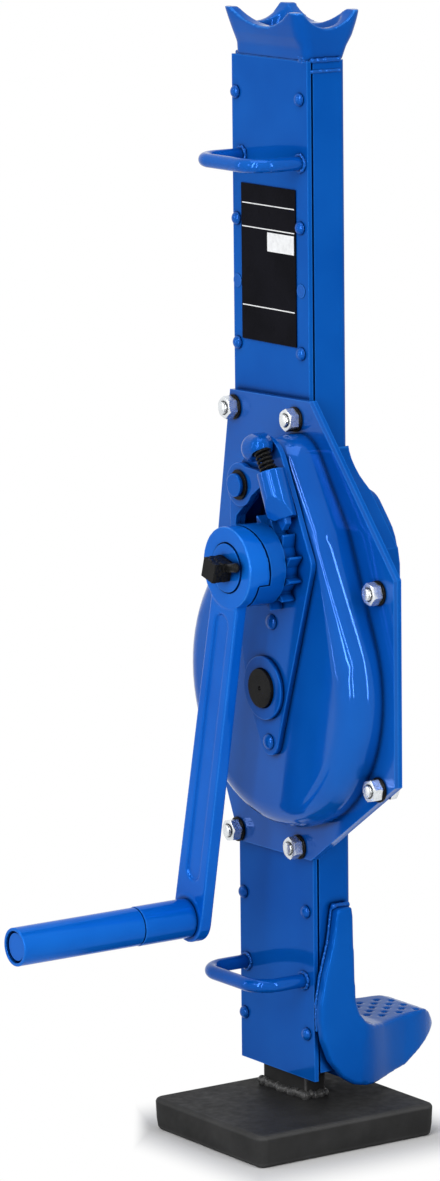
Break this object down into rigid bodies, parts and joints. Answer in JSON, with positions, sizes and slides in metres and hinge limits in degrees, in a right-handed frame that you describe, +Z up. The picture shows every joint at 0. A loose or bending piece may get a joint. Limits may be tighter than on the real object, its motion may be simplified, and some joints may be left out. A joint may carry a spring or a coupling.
{
  "type": "rack and pinion jack",
  "caption": "Hand-cranked steel lifting jack: a column housing with crown head and low side toe climbs a toothed bar on a square foot.",
  "frame": {"origin": "centre of the base plate's underside", "axes": "+Z up along the lift, -Y towards the crank and the front plate, +Y towards the toe, +X towards the gear case"},
  "size_m": [0.2025, 0.3209, 0.729],
  "materials": {
    "blue_paint": "glossy royal blue paint",
    "black_paint": "satin black paint",
    "dark_steel": "dark oiled steel",
    "zinc_plate": "bright zinc plating",
    "label_film": "black film, left bare"
  },
  "bodies": {
    "foot": {"base_plate": "black_paint", "foot_weld": "black_paint", "rack_bar": "black_paint"},
    "housing": {"column_channel": "blue_paint", "front_plate": "blue_paint", "guide_upper_left": "dark_steel", "guide_upper_right": "dark_steel", "guide_lower_left": "dark_steel", "guide_lower_right": "dark_steel", "guide_rivets": "blue_paint", "guide_plugs": "blue_paint", "head_crown": "blue_paint", "crown_weld": "blue_paint", "toe": "blue_paint", "toe_weld": "blue_paint", "upper_grip": "blue_paint", "lower_grip": "blue_paint", "label_plate": "label_film", "gear_case": "blue_paint", "gear_cover": "blue_paint", "bearing_plate": "blue_paint", "bearing_plate_rivets": "blue_paint", "rear_bearing_plate": "blue_paint", "wheel_bush_front": "blue_paint", "wheel_bush_rear": "dark_steel", "crank_bush_front": "dark_steel", "crank_bush_rear": "dark_steel", "cover_bolts": "zinc_plate", "cover_washers": "zinc_plate", "cover_nuts": "zinc_plate", "pawl_pin": "blue_paint", "pawl_clip": "black_paint", "spring_seat": "blue_paint", "pawl_spring": "black_paint"},
    "gear_shaft": {"wheel_shaft": "dark_steel", "gear_wheel": "dark_steel", "wheel_key": "dark_steel"},
    "crank": {"crank_shaft": "dark_steel", "ratchet_wheel": "blue_paint", "brake_disc": "blue_paint", "crank_arm": "blue_paint", "hub_ring": "blue_paint", "end_pin": "dark_steel", "handle_collar": "blue_paint", "handle_pin": "blue_paint"},
    "handle_sleeve": {"handle_sleeve": "blue_paint"},
    "pawl": {"pawl": "blue_paint"}
  },
  "joints": [
    {"name": "lift", "type": "slide", "parent": "foot", "child": "housing", "axis": [0, 0, 1], "range_m": [0, 0.34558]},
    {"name": "wheel_turn", "type": "hinge", "parent": "housing", "child": "gear_shaft", "pos_m": [0.026, -0.02, 0.3035], "axis": [0, 1, 0], "range_deg": [-1321, 0]},
    {"name": "crank_turn", "type": "hinge", "parent": "housing", "child": "crank", "pos_m": [0.039, -0.06, 0.38649], "axis": [0, 1, 0], "range_deg": [0, 7921]},
    {"name": "handle_spin", "type": "hinge", "parent": "crank", "child": "handle_sleeve", "pos_m": [-0.0109, -0.16, 0.15173], "axis": [0, 1, 0], "continuous": true},
    {"name": "pawl_lift", "type": "hinge", "parent": "housing", "child": "pawl", "pos_m": [0.0056, -0.04, 0.4317], "axis": [0, -1, 0], "range_deg": [-4.5, 7], "stiffness_Nm_per_rad": 3, "deforming": ["pawl_spring"]}
  ],
  "couplings": [
    {"joint": "wheel_turn", "follows": "lift", "rad_per_m": -66.667},
    {"joint": "crank_turn", "follows": "lift", "rad_per_m": 400}
  ]
}
